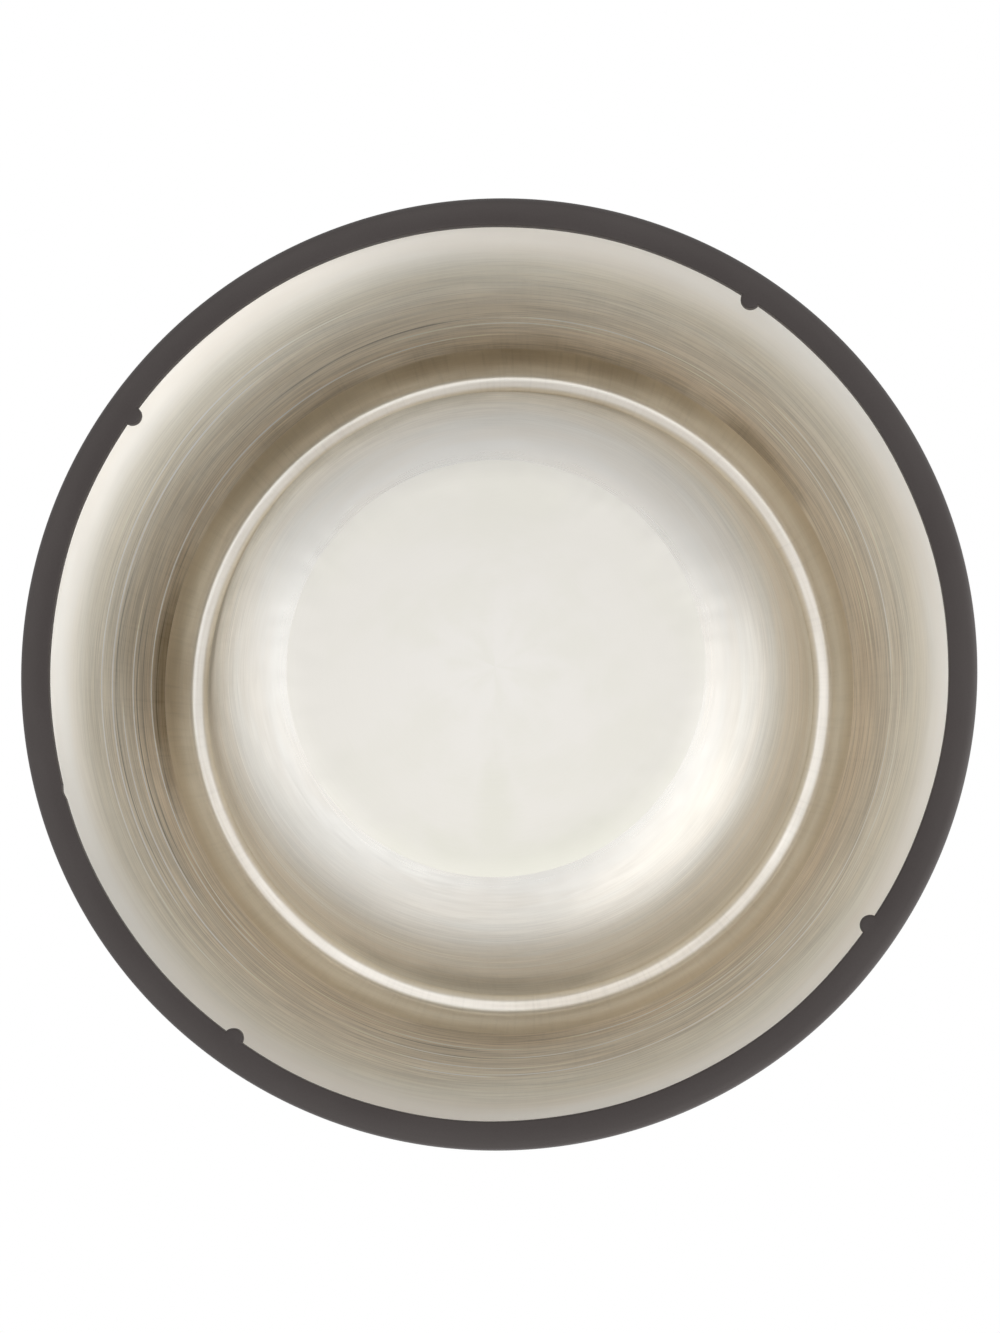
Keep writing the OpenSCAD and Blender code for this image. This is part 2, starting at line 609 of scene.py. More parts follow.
@dataclass(frozen=True)
class SteelFinish:
    """Satin stainless steel with marks of polishing round the axis.

    Attributes:
        name: Name of the material.
        tones: Colours of the sheet, each with the radius where it is reached; in some zones they
            hold painted shade and painted light.
        stain_and_shade_colour: Colour of the stains, and of the painted shade in some patches.
        roughness: Roughness between the marks, near the axis and far from it.
        climb: Share of the height that counts with the radius where marks are spaced out.
        grain: How far apart the marks are, as a multiple of the finest.
        brush_depth: How much the fine brushing darkens.
        cloud: How strongly the stains show in random clouds.
        dents: Depth of the shallow waves in the sheet.
        seed: Shifts the marks, so that no two areas match.
        ends: Radii at which the roughness starts and stops changing.
        anisotropy: How far the brushing draws a highlight out across the marks.
        line_depth: How much single scratches darken or lighten.
        line_belt: Radius of the belt where scratches are strong, and half of its width.
        band_depth: How much the broad bands darken.
        rosiness: How far the belts take on a rosier hue.
        streaks: How much the fine streaks across the marks darken.
        waviness: How far the tones wander in and out round the axis.
        marked: Radii between which the marks grow to their full depth.
        dented: Radii between which the shallow waves grow to their full depth.
        patches: Stains and painted shade, at places of their own.
    """

    name: str
    tones: tuple[tuple[float, Colour], ...]
    stain_and_shade_colour: Colour
    roughness: Span
    climb: float
    grain: float
    brush_depth: float
    cloud: float
    dents: float
    seed: float
    ends: Span = WHOLE
    anisotropy: float = 0.0
    line_depth: float = 0.0
    line_belt: Span = WHOLE
    band_depth: float = 0.0
    rosiness: float = 0.0
    streaks: float = 0.0
    waviness: float = 0.0
    marked: Span = WHOLE
    dented: Span = WHOLE
    patches: tuple[StainAndShadePatch, ...] = ()

    def stain_and_shade(self, graph: Graph) -> Socket:
        """Lays the stains in random clouds, and the placed patches of stains and painted shade.

        Args:
            graph: Graph of the material.

        Returns:
            How much of the stains and the painted shade shows.
        """
        cloud = TurnedNoise.sample(
            graph, Pitch=14 * MM, Climb=self.climb, Around=1.8, Detail=3.0, Seed=self.seed + 5.0
        )
        amount = graph.times(graph.remap(cloud, low=0.35, high=0.7), self.cloud)
        for i, patch in enumerate(self.patches):
            amount = graph.maths("MAXIMUM", amount, patch.shown(graph, self.seed + i))
        return amount

    def tones_with_painted_light(self, graph: Graph, radius: Socket, belts: Socket) -> Socket:
        """Colours the sheet from tone to tone outwards, with painted shade and painted light among
        the tones of some zones.

        Args:
            graph: Graph of the material.
            radius: The radius, with its waviness.
            belts: Where the sheet is rosier.

        Returns:
            The sheet's colour, before the stains and the patches of painted shade.
        """
        colour: Value = self.tones[0][1]
        for (near, _), (far, tone) in zip(self.tones, self.tones[1:]):
            colour = graph.blend(graph.remap(radius, near, far), colour, tone)
        return graph.blend(graph.times(belts, self.rosiness), colour, ROSY, "MULTIPLY")

    def shade(self, graph: Graph, marks: Sockets, radius: Socket, stain_and_shade: Socket) -> Socket:
        """Lightens and darkens the sheet where it is marked.

        Args:
            graph: Graph of the material.
            marks: Outputs of the polish.
            radius: The radius, with its waviness.
            stain_and_shade: How much of the stains and the painted shade shows.

        Returns:
            The factor on the sheet's colour, which is about 1.
        """
        full_share, beyond_belt, dark_share = 0.4, 0.1, -0.15
        streaks_in_stain_and_shade, streaks_outside = 0.8, 0.2
        middle, reach = self.line_belt
        off = graph.maths("ABSOLUTE", graph.minus(radius, middle))
        in_belt = graph.remap(off, reach, full_share * reach, to_low=beyond_belt)
        shown = graph.times(in_belt, self.line_depth)
        scratches = graph.times_plus(marks["Dark Lines"], dark_share, marks["Light Lines"])
        fibre = TurnedNoise.sample(
            graph, Pitch=30 * MM, Climb=self.climb, Around=90.0, Detail=2.0, Seed=self.seed
        )
        likely = graph.times_plus(stain_and_shade, streaks_in_stain_and_shade, streaks_outside)
        streaky = graph.times(graph.remap(fibre, low=0.45, high=0.75), likely)
        change: Value = MIDDLE * (self.brush_depth + self.band_depth)
        change = graph.times_plus(marks["Brush"], -self.brush_depth, change)
        change = graph.times_plus(marks["Bands"], -self.band_depth, change)
        change = graph.times_plus(streaky, -self.streaks, change)
        change = graph.times_plus(scratches, shown, change)
        return graph.times_plus(change, graph.remap(radius, *self.marked), 1.0)

    def colour(self, graph: Graph, marks: Sockets, radius: Socket) -> Socket:
        """Colours the sheet, with its stains, its painted shade and light, and the marks of
        polishing.

        Args:
            graph: Graph of the material.
            marks: Outputs of the polish.
            radius: The radius, with its waviness.

        Returns:
            The sheet's colour.
        """
        stain_and_shade = self.stain_and_shade(graph)
        tone = graph.blend(stain_and_shade, self.tones_with_painted_light(graph, radius, marks["Belts"]), self.stain_and_shade_colour)
        shade = self.shade(graph, marks, radius, stain_and_shade)
        grey = graph.add("ShaderNodeCombineColor", {"Red": shade, "Green": shade, "Blue": shade})
        return graph.blend(1.0, tone, grey.outputs[0], "MULTIPLY")

    def rough(self, graph: Graph, marks: Sockets, radius: Socket) -> Socket:
        """Roughens the sheet a little more in the marks of polishing.

        Args:
            graph: Graph of the material.
            marks: Outputs of the polish.
            radius: The radius, with its waviness.

        Returns:
            The sheet's roughness.
        """
        in_brush, in_scratch = 0.06, 0.10
        between = graph.remap(radius, *self.ends, *self.roughness)
        brushed = graph.times_plus(marks["Brush"], in_brush, between)
        return graph.times_plus(marks["Dark Lines"], in_scratch, brushed)

    def relief(self, graph: Graph, brush: Socket, wave: Socket, radius: Socket) -> Socket:
        """Lays the shallow waves and the fine brushing over the sheet.

        Args:
            graph: Graph of the material.
            brush: The fine brushing.
            wave: Noise for the shallow waves.
            radius: The radius, with its waviness.

        Returns:
            The direction that the surface faces.
        """
        depth = graph.times(wave, graph.remap(radius, *self.dented))
        waves = graph.add("ShaderNodeBump", {
            "Height": depth, "Strength": 1.0, "Distance": self.dents,
        })
        return graph.add("ShaderNodeBump", {
            "Height": brush, "Strength": 0.1, "Distance": 0.01 * MM, "Normal": waves.outputs[0],
        }).outputs[0]

    def material(self) -> Material:
        """Builds the material's nodes.

        Returns:
            The material.
        """
        material = bpy.data.materials.new(self.name)
        graph = Graph.of(material)
        marks = Polish.place(graph, Climb=self.climb, Grain=self.grain, Seed=self.seed)
        wave = TurnedNoise.sample(
            graph, Pitch=14 * MM, Climb=self.climb, Around=7.0, Detail=1.0, Seed=60.0
        )
        at = TurnedPlace.place(graph)
        radius = graph.times_plus(graph.minus(wave, MIDDLE), 2 * self.waviness, at["Radius"])
        tangent = graph.add("ShaderNodeTangent", direction_type="RADIAL", axis="Z")
        graph.show(graph.add("ShaderNodeBsdfPrincipled", {
            "Base Color": self.colour(graph, marks, radius),
            "Metallic": 1.0,
            "Roughness": self.rough(graph, marks, radius),
            "Normal": self.relief(graph, marks["Brush"], wave, radius),
            "Tangent": tangent.outputs[0],
            "Anisotropic": self.anisotropy,
            "Anisotropic Rotation": 0.25,
        }))
        return material


@dataclass(frozen=True)
class RubberFinish:
    """Matt moulded rubber.

    Attributes:
        name: Name of the material.
        colour: Colour of clean rubber.
        dust_and_sheen_colour: Colour of dust from handling, and of painted sheen that grows towards
            the outer edge.
        edge: Radii between which it grows lighter towards the outer edge, partly dust and partly
            painted sheen.
        roughness: Roughness of the moulded skin.
        grain_depth: Depth of the skin's grain.
        sheen: How much the skin lightens where it is seen edge on.
    """

    name: str
    colour: Colour
    dust_and_sheen_colour: Colour
    edge: Span
    roughness: float
    grain_depth: float
    sheen: float

    def dust_and_sheen(self, graph: Graph) -> Socket:
        """Lays dust and painted sheen towards the outer edge by the radius, and dust in random
        clouds.

        Args:
            graph: Graph of the material.

        Returns:
            How much dust and painted sheen the rubber has.
        """
        outward_share, cloud_share = 0.7, 0.3
        cloud = TurnedNoise.sample(graph, Pitch=12 * MM, Around=4.0, Detail=3.0, Seed=1.0)
        clouds = graph.times(graph.remap(cloud, low=0.35, high=0.7), cloud_share)
        outward = graph.remap(TurnedPlace.place(graph)["Radius"], *self.edge)
        return graph.times_plus(outward, outward_share, clouds)

    def material(self) -> Material:
        """Builds the material's nodes.

        Returns:
            The material.
        """
        grain_size, grain_roughens = 0.5 * MM, 0.2
        material = bpy.data.materials.new(self.name)
        graph = Graph.of(material)
        point = graph.add("ShaderNodeTexCoord").outputs["Object"]
        grain = graph.add("ShaderNodeTexNoise", {
            "Vector": point, "Scale": 1 / grain_size, "Detail": 3.0,
        }).outputs[0]
        bump = graph.add("ShaderNodeBump", {
            "Height": grain, "Strength": 0.3, "Distance": self.grain_depth,
        })
        graph.show(graph.add("ShaderNodeBsdfPrincipled", {
            "Base Color": graph.blend(self.dust_and_sheen(graph), self.colour, self.dust_and_sheen_colour),
            "Roughness": graph.times_plus(grain, grain_roughens, self.roughness),
            "Normal": bump.outputs[0],
            "Sheen Weight": self.sheen,
        }))
        return material


@dataclass
class SteelSheet:
    """The drawn sheet: basin, rolled rim and skirt, in one piece.

    Attributes:
        top: Height of the top of the rim.
        foot_z: Height of the foot's edge in the ring's groove.
        foot_r: Outer radius of the upright foot.
        thickness: Thickness of the sheet.
        rim_r: Radius of the circle along the top of the rim.
        bead_r: Outer radius of the rolled bead.
        floor_r: Radius of the basin's flat floor.
        floor_z: Height of the floor's underside.
        corner_r: Radius of the basin's corner, underneath.
        ease_r: Radius of the slow curve from the floor into the corner.
        ease_lift: How far that curve lifts the corner.
        disc_r: Radius at which the finish of the floor ends, on that curve.
        bend_r: Outer radius of the bend into the foot.
        foot_h: Height of the upright foot.
        flare_r: Outer radius of the flare that ends the skirt's straight part.
        flare_turn: Angle that the flare turns the skirt further outwards.
        groove_r: Radius at which the skirt's finish starts, underneath.
        flat: How far the underside of the rolled rim is flatter than a round bead.
        flat_way: Angle of the middle of that flatness round the bead.
        flat_reach: Angle from there at which the bead is round again.
        around: Facets in a full turn.
    """

    top: float
    foot_z: float
    foot_r: float
    thickness: float = 0.6 * MM
    rim_r: float = 98.8 * MM
    bead_r: float = 4 * MM
    floor_r: float = 61.6 * MM
    floor_z: float = 5 * MM
    corner_r: float = 25 * MM
    ease_r: float = 90 * MM
    ease_lift: float = 0.3 * MM
    disc_r: float = 61.4 * MM
    bend_r: float = 8 * MM
    foot_h: float = 5 * MM
    flare_r: float = 55 * MM
    flare_turn: float = math.radians(20.0)
    groove_r: float = 107.3 * MM
    flat: float = 0.74 * MM
    flat_way: float = math.radians(95.0)
    flat_reach: float = math.radians(65.0)
    around: int = 720

    def trough(self, rim: Point, start: float, end: float, steps: int) -> list[Point]:
        """Draws the rolled rim's underside, which is flatter at its top than a round bead.

        Args:
            rim: Radius and height of the bead's centre.
            start: Angle at the basin's wall, in radians.
            end: Angle at the skirt, in radians.
            steps: Number of chords.

        Returns:
            The points from the wall to the skirt.
        """
        points = []
        for i in range(steps + 1):
            turn = start + (end - start) * i / steps
            off = min(1.0, abs(turn - self.flat_way) / self.flat_reach)
            radius = self.bead_r - self.thickness - self.flat * math.cos(QUARTER * off) ** 2
            points.append((rim[0] + radius * math.cos(turn), rim[1] + radius * math.sin(turn)))
        return points

    def wall_lean(self, corner: Point, rim: Point) -> float:
        """Leans the basin's wall, which touches the corner and the inside of the rim.

        Args:
            corner: Centre of the basin's corner.
            rim: Centre of the rolled bead.

        Returns:
            The wall's angle off upright.
        """
        out, rise = rim[0] - corner[0], rim[1] - corner[1]
        touch = self.corner_r + self.bead_r - self.thickness
        return math.atan2(out, rise) - math.asin(touch / math.hypot(out, rise))

    def skirt_lean(self, rim: Point, bend: Point) -> float:
        """Leans the skirt's straight part, which touches the rim and the flare.

        Args:
            rim: Centre of the rolled bead.
            bend: Centre of the bend into the foot.

        Returns:
            The skirt's angle off upright.
        """
        out, rise = bend[0] - rim[0], bend[1] - rim[1]
        reach = self.flare_r + self.bend_r
        touch = self.bead_r + self.flare_r - reach * math.cos(self.flare_turn)
        return math.atan2(rise, out) + math.acos(touch / math.hypot(out, rise))

    def section(self) -> tuple[list[Point], list[int]]:
        """Draws the sheet's section, by the same formulas as the frame's own solid.

        Returns:
            The section's points, and for each the zone of the run that it begins.
        """
        t = self.thickness
        corner = (self.floor_r, self.floor_z + self.corner_r + self.ease_lift)
        rim = (self.rim_r, self.top - self.bead_r)
        bend = (self.foot_r - self.bend_r, self.foot_z + self.foot_h)
        wall_lean, lean = self.wall_lean(corner, rim), self.skirt_lean(rim, bend)
        lean_foot = lean + self.flare_turn
        reach = self.flare_r + self.bend_r
        flare = (bend[0] + reach * math.cos(lean_foot), bend[1] + reach * math.sin(lean_foot))
        slower = self.ease_r - self.corner_r
        eased = math.acos(1.0 - self.ease_lift / slower)
        ease = (self.floor_r - slower * math.sin(eased), self.floor_z + self.ease_r)
        down, over = -QUARTER, HALF - wall_lean
        disc = down + math.asin((self.disc_r - ease[0]) / self.ease_r)

        floor_rings = [self.floor_r * share for share in (0.0, 0.25, 0.5, 0.75)]
        floor = [(r, self.floor_z) for r in floor_rings]
        floor += arc(ease, self.ease_r, down, disc, steps=8)[:-1]
        wall = arc(ease, self.ease_r, disc, down + eased, steps=4)[:-1]
        wall += arc(corner, self.corner_r, down + eased, -wall_lean, steps=40)
        groove = self.trough(rim, over, lean, steps=48)
        drop = (self.groove_r - groove[-1][0]) / math.tan(lean)
        skirt = [(self.groove_r, groove[-1][1] - drop)]
        skirt += arc(flare, self.flare_r + t, HALF + lean, HALF + lean_foot, steps=20)
        skirt += arc(bend, self.bend_r - t, lean_foot, 0.0, steps=10)[1:]
        skirt.append((self.foot_r - t, self.foot_z))
        outside = [(self.foot_r, self.foot_z)]
        outside += arc(bend, self.bend_r, 0.0, lean_foot, steps=10)
        outside += arc(flare, self.flare_r, HALF + lean_foot, HALF + lean, steps=20)[1:]
        outside += arc(rim, self.bead_r, lean, QUARTER, steps=12)
        inside = arc(rim, self.bead_r, QUARTER, over, steps=16)[1:]
        inside += arc(corner, self.corner_r - t, -wall_lean, down + eased, steps=36)
        inside += arc(ease, self.ease_r - t, down + eased, down, steps=6)[1:]
        inside += [(r, self.floor_z + t) for r in reversed(floor_rings)]
        runs = {
            Zone.FLOOR: floor,
            Zone.WALL: wall,
            Zone.GROOVE: groove,
            Zone.SKIRT: skirt,
            Zone.OUTSIDE: outside,
            Zone.INSIDE: inside,
        }
        points = [point for run in runs.values() for point in run]
        return points, [zone.value for zone, run in runs.items() for _ in run]

    def make(self, finishes: dict[Zone, SteelFinish]) -> Object:
        """Builds the sheet, and puts it in place of the frame's plain solid.

        Args:
            finishes: Finish of each zone.

        Returns:
            The piece.
        """
        section, zones = self.section()
        mesh = revolve("bowl_sheet", section, self.around, zones)
        piece = place(mesh, [finishes[zone].material() for zone in Zone])
        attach(piece, Body.BOWL.value)
        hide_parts("steel_bowl")
        LOG.info("%s: %d faces", piece.name, len(mesh.polygons))
        return piece


@dataclass
class RubberRing:
    """The moulded ring: tread, outer wall, groove for the foot, inner lip and lobes.

    Attributes:
        outer_r: Outer radius.
        top: Height of the outer wall.
        width: Width of the ring.
        wall: Thickness of the outer wall.
        groove: Width of the groove.
        tread: Rubber under the groove.
        lip: Height of the inner lip.
        tread_edge: Radius of the outer lower edge.
        crown: How far the tread rises towards its inner edge.
        soft_edge: Radius of the other edges.
        lobe_r: Radius of a lobe.
        lobe_reach: How far a lobe stands out of the inner edge.
        lobe_lift: Height of a lobe's underside.
        lobe_edge: Radius of a lobe's lower edge.
        lobes: Number of lobes.
        waver: How far the inner edge wanders in and out.
        waves: Waves of that wandering, as (count round the ring, share, start in radians).
        nick: Direction, half length and depth of the nick in the inner edge.
        around: Facets in a full turn.
    """

    outer_r: float
    top: float
    width: float = 8.4 * MM
    wall: float = 2.2 * MM
    groove: float = 1.2 * MM
    tread: float = 2.5 * MM
    lip: float = 4 * MM
    tread_edge: float = 2.6 * MM
    crown: float = 0.3 * MM
    soft_edge: float = 0.6 * MM
    lobe_r: float = 2.9 * MM
    lobe_reach: float = 2.6 * MM
    lobe_lift: float = 0.3 * MM
    lobe_edge: float = 0.8 * MM
    lobes: int = 4
    waver: float = 0.22 * MM
    waves: tuple[tuple[int, float, float], ...] = ((3, 0.5, 1.0), (7, 0.3, 2.6), (17, 0.25, 0.0))
    nick: tuple[float, float, float] = (math.radians(309.0), 1.4 * MM, 0.5 * MM)
    around: int = 720

    def section(self) -> list[Point]:
        """Draws the ring's section, from the inner lower edge outwards.

        Returns:
            The section's points.
        """
        inner, e, s = self.outer_r - self.width, self.tread_edge, self.soft_edge
        groove_out = self.outer_r - self.wall
        groove_in = groove_out - self.groove
        points = arc((inner + s, self.crown + s), s, HALF, 3 * QUARTER, steps=6)
        points += arc((self.outer_r - e, e), e, 3 * QUARTER, math.tau, steps=10)
        points += arc((self.outer_r - s, self.top - s), s, 0.0, QUARTER, steps=6)
        points += arc((groove_out + s, self.top - s), s, QUARTER, HALF, steps=6)
        points += [(groove_out, self.tread), (groove_in, self.tread)]
        points += arc((groove_in - s, self.lip - s), s, 0.0, QUARTER, steps=4)
        points += arc((inner + s, self.lip - s), s, QUARTER, HALF, steps=4)
        return points

    def lobe(self) -> Mesh:
        """Turns one lobe, which stands on the ring's axis until it is moved.

        Returns:
            The lobe's mesh.
        """
        lobe_around = 48
        e, top = self.lobe_edge, self.lip - self.soft_edge
        points = [(0.0, top), (0.0, self.lobe_lift)]
        points += arc((self.lobe_r - e, self.lobe_lift + e), e, 3 * QUARTER, math.tau, steps=6)
        points += [(self.lobe_r, top)]
        return revolve("lobe", points, lobe_around, [0] * len(points))

    def trim(self, mesh: Mesh) -> None:
        """Lets the inner lip's edge wander a little round the ring, and cuts the nick into it.

        Args:
            mesh: Mesh of the ring, before the lobes are joined on.
        """
        bluntness = 4
        inner = self.outer_r - self.width
        way, half_length, depth = self.nick
        for vertex in mesh.vertices:
            radius = math.hypot(vertex.co.x, vertex.co.y)
            share = 1.0 - (radius - inner) / self.soft_edge
            if share <= 0.0:
                continue
            turn = math.atan2(vertex.co.y, vertex.co.x)
            wander = sum(size * math.sin(count * turn + start) for count, size, start in self.waves)
            off = math.remainder(turn - way, math.tau) * inner / half_length
            shift = self.waver * wander + depth * max(0.0, 1.0 - off ** bluntness)
            grown = (radius + share * shift) / radius
            vertex.co.x *= grown
            vertex.co.y *= grown

    def make(self, finish: RubberFinish) -> Object:
        """Builds the ring with its lobes joined on, in place of the frame's plain solid.

        Args:
            finish: Finish of the rubber.

        Returns:
            The piece.
        """
        points = self.section()
        body = revolve("base_ring", points, self.around, [0] * len(points))
        self.trim(body)
        piece = place(body, [finish.material()])
        centre = self.outer_r - self.width + self.lobe_r - self.lobe_reach
        for i in range(self.lobes):
            turn = Matrix.Rotation(math.tau * i / self.lobes, 4, "Z")
            mesh = self.lobe()
            mesh.transform(turn @ Matrix.Translation((centre, 0, 0)))
            self.join(piece, place(mesh, []))
        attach(piece, Body.BASE.value)
        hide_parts("rubber_ring")
        LOG.info("%s: %d faces", piece.name, len(piece.data.polygons))
        return piece

    @staticmethod
    def join(piece: Object, addition: Object) -> None:
        """Makes the addition part of the piece's own mesh.

        Args:
            piece: Piece that grows.
            addition: Piece that is joined on, and is then gone.
        """
        union = piece.modifiers.new("join", "BOOLEAN")
        union.operation = "UNION"
        union.solver = "EXACT"
        union.object = addition
        graph = bpy.context.evaluated_depsgraph_get()
        joined = bpy.data.meshes.new_from_object(piece.evaluated_get(graph))
        piece.modifiers.clear()
        piece.data = joined
        bpy.data.objects.remove(addition)


@dataclass(frozen=True)
class Glow:
    """One soft light of the studio, as the metal mirrors it.

    Attributes:
        off: Angle of its middle off straight down, in degrees.
        way: Direction of its middle in the picture, clockwise from the right, in degrees.
        reach: Angle from its middle at which it ends, in degrees.
        strength: Light that it adds at its middle.
    """

    off: float
    way: float
    reach: float
    strength: float


@dataclass
class Studio:
    """Plain soft light, a pale floor and the camera underneath.

    Attributes:
        drop: How far the camera is below the ground.
        tilt: Angle of the line from the bowl to the camera off the bowl's axis.
        tilt_way: Direction of that tilt in the picture, anticlockwise from its right.
        roll: Direction on the ground that points up in the picture.
        lens: Focal length, for a sensor 36 mm on its long side.
        aim: Point that the camera looks at, as (right, up) in the picture.
        floor_r: Radius of the floor.
        floor_z: Height of the floor, just under the ring.
        floor_colour: Colour of the floor.
        fade: Distances between which the floor fades away.
        lamp_at: Place of the lamp.
        lamp_size: Width of the lamp.
        lamp_power: Power of the lamp, in watts.
        matt_share: Share of the mirrored light that falls on matt things.
        base_glow: Light that metal mirrors from every side.
        glows: Soft lights that metal mirrors besides.
    """

    drop: float = 0.838
    tilt: float = math.radians(7.5)
    tilt_way: float = math.radians(-60.2)
    roll: float = math.radians(55.0)
    lens: float = 78.5
    aim: tuple[float, float] = (1.8 * MM, -0.5 * MM)
    floor_r: float = 4.0
    floor_z: float = -0.1 * MM
    floor_colour: Colour = (0.86, 0.86, 0.85)
    fade: Span = (0.5, 2.4)
    lamp_at: tuple[float, float, float] = (-0.7, -0.8, 1.3)
    lamp_size: float = 2.0
    lamp_power: float = 12.5
    matt_share: float = 0.85
    base_glow: float = 0.64
    glows: tuple[Glow, ...] = (
        Glow(15, 290, 24, 0.1),
        Glow(26, 8, 26, 0.9),
        Glow(26, 96, 30, 0.38),
        Glow(26, 170, 26, 0.6),
        Glow(58, 45, 34, 1.05),
        Glow(58, 90, 34, 0.3),
        Glow(58, 135, 34, 0.25),
        Glow(58, 185, 34, 0.45),
        Glow(90, 0, 40, 1.25),
        Glow(115, 25, 45, 0.42),
    )

    def axes(self) -> tuple[Vector, Vector]:
        """The picture's right and up, as directions on the ground."""
        up = Vector((math.cos(self.roll), math.sin(self.roll), 0))
        return Vector((-up.y, up.x, 0)), up

    def towards(self, glow: Glow) -> Vector:
        """Finds the middle of a glow, as the bowl sees it.

        Args:
            glow: One soft light.

        Returns:
            The direction, of length 1.
        """
        right, up = self.axes()
        way, off = math.radians(glow.way), math.radians(glow.off)
        aside = right * math.cos(way) - up * math.sin(way)
        return aside * math.sin(off) + Vector((0, 0, -math.cos(off)))

    def camera(self) -> None:
        """Puts the camera under the bowl, a little to the lower right of its axis."""
        right, up = self.axes()
        aside = self.drop * math.tan(self.tilt)
        way = right * math.cos(self.tilt_way) + up * math.sin(self.tilt_way)
        data = bpy.data.cameras.new("camera")
        data.lens = self.lens
        data.clip_start = 10 * MM
        camera = bpy.data.objects.new("camera", data)
        place_at = way * aside + Vector((0, 0, -self.drop))
        ahead = (right * self.aim[0] + up * self.aim[1] - place_at).normalized()
        across = ahead.cross(up).normalized()
        above = across.cross(ahead)
        facing = Matrix((across, above, -ahead)).transposed().to_4x4()
        camera.matrix_world = Matrix.Translation(place_at) @ facing
        bpy.context.scene.collection.objects.link(camera)
        bpy.context.scene.camera = camera

    def world(self) -> None:
        """White for the camera, a soft studio for metal to mirror, even light on matt things."""
        world = bpy.data.worlds.new("studio")
        graph = Graph.of(world)
        ray = graph.add("ShaderNodeLightPath").outputs
        way = graph.add("ShaderNodeTexCoord").outputs["Generated"]
        mirrored: Value = self.base_glow
        for glow in self.glows:
            middle = tuple(self.towards(glow))
            near = graph.add("ShaderNodeVectorMath", {0: way, 1: middle}, operation="DOT_PRODUCT")
            end = math.cos(math.radians(glow.reach))
            lit = graph.remap(near.outputs["Value"], end, 1.0, to_high=glow.strength)
            mirrored = graph.plus(mirrored, lit)
        in_metal = graph.maths("MAXIMUM", ray["Is Glossy Ray"], ray["Is Transmission Ray"])
        share = graph.times_plus(in_metal, 1.0 - self.matt_share, self.matt_share)
        soft = graph.times(mirrored, share)
        strength = graph.times_plus(ray["Is Camera Ray"], graph.minus(1.0, soft), soft)
        light = graph.add("ShaderNodeBackground", {"Color": (1.0, 1.0, 1.0), "Strength": strength})
        graph.show(light, "ShaderNodeOutputWorld")
        bpy.context.scene.world = world

    def floor(self) -> None:
        """A pale floor under the ring, seen from above only, that fades into the background."""
        rim = arc((0.0, 0.0), self.floor_r, 0.0, math.tau, steps=64)[:-1]
        mesh = bpy.data.meshes.new("floor")
        mesh.from_pydata([(x, y, self.floor_z) for x, y in rim], [], [tuple(range(len(rim)))])
        material = bpy.data.materials.new("floor")
        graph = Graph.of(material)
        matt = graph.add("ShaderNodeBsdfDiffuse", {"Color": self.floor_colour})
        clear = graph.add("ShaderNodeBsdfTransparent")
        behind = graph.add("ShaderNodeNewGeometry").outputs["Backfacing"]
        point = graph.add("ShaderNodeTexCoord").outputs["Object"]
        away = graph.add("ShaderNodeVectorMath", {0: point}, operation="LENGTH").outputs["Value"]
        faded = graph.maths("MAXIMUM", behind, graph.remap(away, *self.fade))
        shaders = {"Fac": faded, 1: matt.outputs[0], 2: clear.outputs[0]}
        graph.show(graph.add("ShaderNodeMixShader", shaders))
        floor = place(mesh, [material])
        floor.visible_diffuse = floor.visible_glossy = False
        floor.visible_transmission = floor.visible_shadow = False

    def lamp(self) -> None:
        """A broad soft lamp above, which faces the bowl."""
        data = bpy.data.lights.new("key_above", "AREA")
        data.size = self.lamp_size
        data.energy = self.lamp_power
        lamp = bpy.data.objects.new("key_above", data)
        lamp.location = self.lamp_at
        lamp.rotation_euler = (-lamp.location).to_track_quat("-Z", "Y").to_euler()
        bpy.context.scene.collection.objects.link(lamp)

    def build(self) -> None:
        """Sets the whole studio up."""
        bpy.context.scene.view_settings.view_transform = "Standard"
        self.camera()
        self.world()
        self.floor()
        self.lamp()


# Reflected colours of the sheet: clean, stained, and some that are painted shade and painted light,
# as marked
CLEAN = (0.885, 0.862, 0.818)
MILKY = (0.85, 0.825, 0.77)
COOL = (0.868, 0.851, 0.808)
WARM = (0.87, 0.845, 0.785)
DULL = (0.88, 0.83, 0.74)
# Painted shade in the crease where the basin's wall turns into the rolled rim
CREASE_SHADE = (0.79, 0.75, 0.66)
# Colour of random clouds on the basin's wall, and of its patches of painted shade
SLATE = (0.52, 0.49, 0.42)
# Painted highlight along the underside of the rolled rim
RIM_HIGHLIGHT = (0.99, 0.96, 0.90)
# Painted light on the skirt next to the ring
SKIRT_EDGE_LIGHT = (0.98, 0.96, 0.91)
PALE = (0.88, 0.855, 0.77)
SAND = (0.835, 0.787, 0.695)
# Painted light on the outer side of the rolled rim's underside
BEAD_LIGHT = (0.95, 0.905, 0.82)
# EARTH and UMBER: browner and darker where the skirt meets the rim, partly stain and partly painted
# shade
EARTH = (0.90, 0.825, 0.71)
UMBER = (0.85, 0.772, 0.66)
# Colour of brown stains on the rim and skirt, and of the painted shade in the rim's patches
BROWN = (0.42, 0.34, 0.235)
# Colour of random clouds on the basin's floor, and of its patches of painted shade
OLIVE = (0.80, 0.79, 0.70)
GREY = (0.84, 0.82, 0.75)
# Factor on the sheet's colour in a rosier belt
ROSY = (1.0, 0.95, 0.90)

# Painted shade: darker fans across the brushed floor, and a darker arc at its edge
FLOOR_SHADE_PATCHES = (
    StainAndShadePatch(235, 13, 42 * MM, 26 * MM, 0.6),
    StainAndShadePatch(60, 34, 50 * MM, 20 * MM, 0.4),
    StainAndShadePatch(225, 70, 60 * MM, 14 * MM, 0.8),
)
